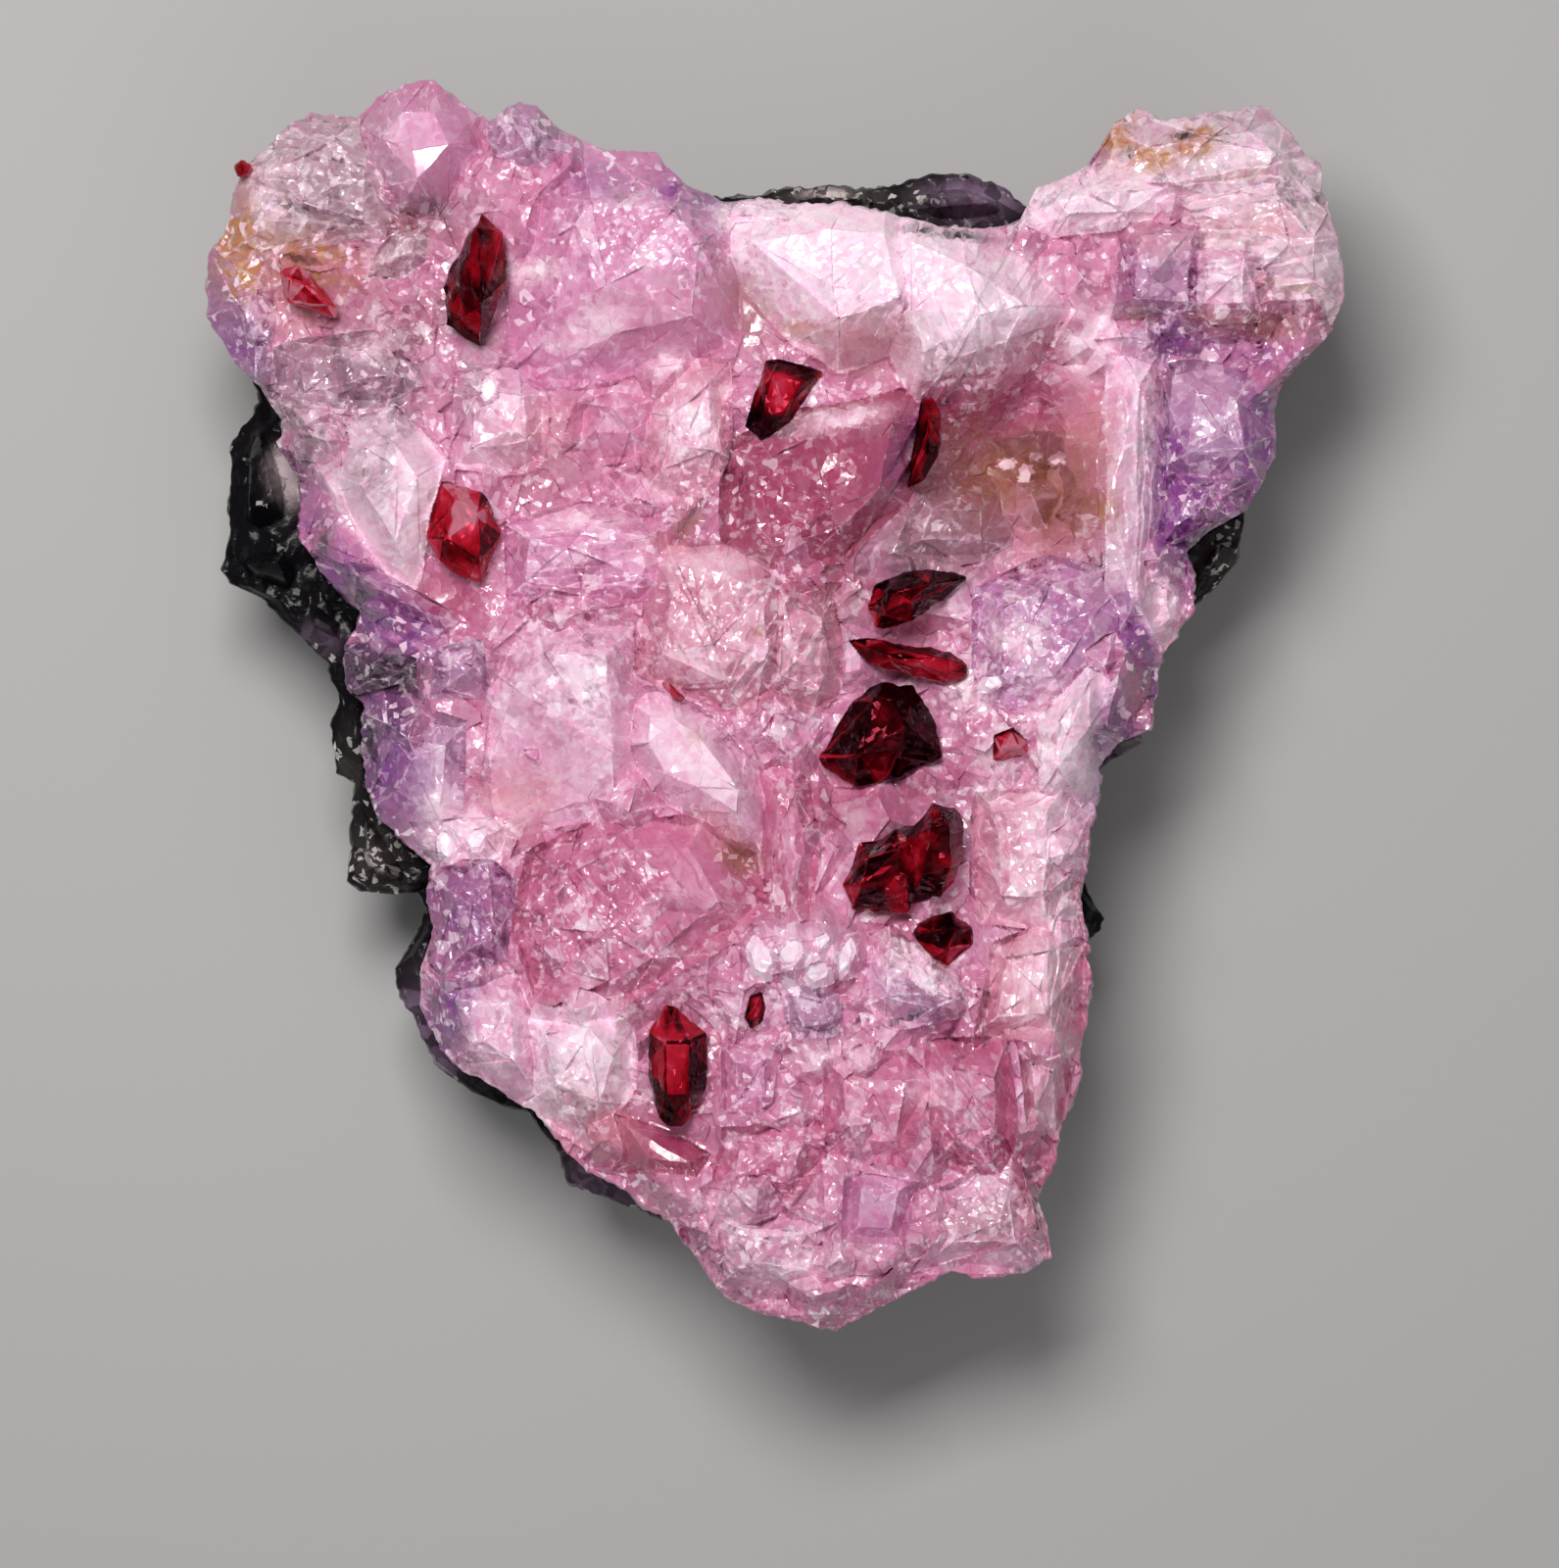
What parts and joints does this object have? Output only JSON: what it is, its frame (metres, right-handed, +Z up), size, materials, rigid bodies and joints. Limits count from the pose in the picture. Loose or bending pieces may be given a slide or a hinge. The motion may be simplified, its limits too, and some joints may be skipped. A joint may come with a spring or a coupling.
{
  "type": "roselite specimen",
  "caption": "Mineral specimen that lies on its flat back: dark rock under a crust of pink calcite crystals, with deep red roselite crystals set in it.",
  "frame": {"origin": "on the surface it lies on, under the middle of the specimen's box", "axes": "+Z up out of the crystal face, +Y towards the two horns, +X to the right of someone looking down on the crystals"},
  "size_m": [0.0603, 0.066, 0.0198],
  "materials": {
    "host_rock": "broken, glossy black with white and grey specks",
    "pink_calcite": "glassy to waxy crystal faces, translucent pink with violet and white zones",
    "red_roselite": "bright glassy faces, deep red"
  },
  "bodies": {
    "root": {"matrix": "host_rock", "calcite_crust": "pink_calcite", "roselite_kite": "red_roselite", "roselite_lath": "red_roselite", "roselite_wedge": "red_roselite", "roselite_slab": "red_roselite", "roselite_crescent": "red_roselite", "roselite_column_top": "red_roselite", "roselite_column_bar": "red_roselite", "roselite_column_foot": "red_roselite", "roselite_pair": "red_roselite", "roselite_under_pair": "red_roselite", "roselite_barrel": "red_roselite", "roselite_chip": "red_roselite", "roselite_bud": "red_roselite", "roselite_speck": "red_roselite", "roselite_sliver": "red_roselite"}
  },
  "joints": []
}
